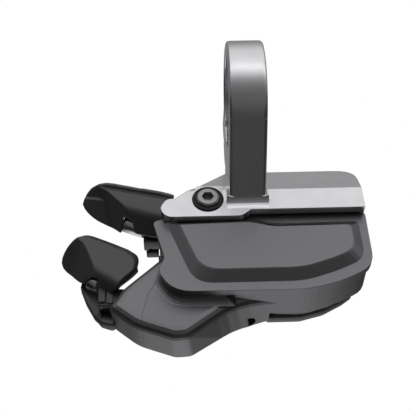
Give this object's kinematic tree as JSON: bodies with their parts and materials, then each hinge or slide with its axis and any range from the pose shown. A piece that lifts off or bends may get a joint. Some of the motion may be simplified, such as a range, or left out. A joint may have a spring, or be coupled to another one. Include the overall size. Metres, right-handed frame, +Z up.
{
  "type": "bicycle shifter",
  "caption": "Electronic bicycle shifter: a handlebar clamp ring on a flat bracket carries a moulded housing with a raised cover panel, a coin cell bay and thumb paddles on sprung lever arms.",
  "frame": {"origin": "centre of the handlebar clamp's bore, half way along its length", "axes": "+X along the handlebar, away from the paddles; +Z up, square to the bracket's level plate; -Y towards the side that the cover is tilted to"},
  "size_m": [0.0718, 0.0573, 0.0628],
  "materials": {
    "forged_aluminium": "forged and polished, grey anodised",
    "bolt_steel": "satin",
    "pin_steel": "ground",
    "brass": "bare",
    "cover_paint": "satin dark grey",
    "shell_paint": "satin dark grey",
    "door_plastic": "matt grey",
    "paddle_plastic": "matt black",
    "lever_plastic": "glossy black",
    "seal_rubber": "matt black",
    "board": "solder mask",
    "switch_plastic": "matt",
    "cell_steel": "nickel plated"
  },
  "bodies": {
    "housing": {"clamp_bracket": "forged_aluminium", "pinch_bolt": "bolt_steel", "bracket_bolt": "bolt_steel", "bracket_nut": "brass", "top_cover": "cover_paint", "cover_gasket": "seal_rubber", "lower_shell": "shell_paint", "nose_cap": "cover_paint", "nose_cap_screw": "bolt_steel", "cover_screws": "bolt_steel", "circuit_board": "board", "upper_switch": "switch_plastic", "lower_switch": "switch_plastic", "battery_door": "door_plastic", "battery_door_screw": "bolt_steel", "battery_seal": "seal_rubber", "battery_cell": "cell_steel", "battery_contact": "brass", "upper_pivot_pin": "pin_steel", "lower_pivot_pin": "pin_steel"},
    "upper_paddle_lever": {"upper_lever": "lever_plastic", "upper_return_spring": "pin_steel", "upper_paddle": "paddle_plastic", "upper_paddle_screw": "bolt_steel"},
    "lower_paddle_lever": {"lower_lever": "lever_plastic", "lower_return_spring": "pin_steel", "lower_paddle": "paddle_plastic", "lower_paddle_screw": "bolt_steel"}
  },
  "joints": [
    {"name": "upper_paddle_press", "type": "hinge", "parent": "housing", "child": "upper_paddle_lever", "pos_m": [-0.014, -0.01204, -0.03309], "axis": [0, 0.4226, -0.9063], "range_deg": [0, 6], "stiffness_Nm_per_rad": 0.3, "springref_deg": -5.73},
    {"name": "lower_paddle_press", "type": "hinge", "parent": "housing", "child": "lower_paddle_lever", "pos_m": [-0.0204, -0.02682, -0.03998], "axis": [0, 0.4226, -0.9063], "range_deg": [0, 6], "stiffness_Nm_per_rad": 0.3, "springref_deg": -5.73}
  ]
}
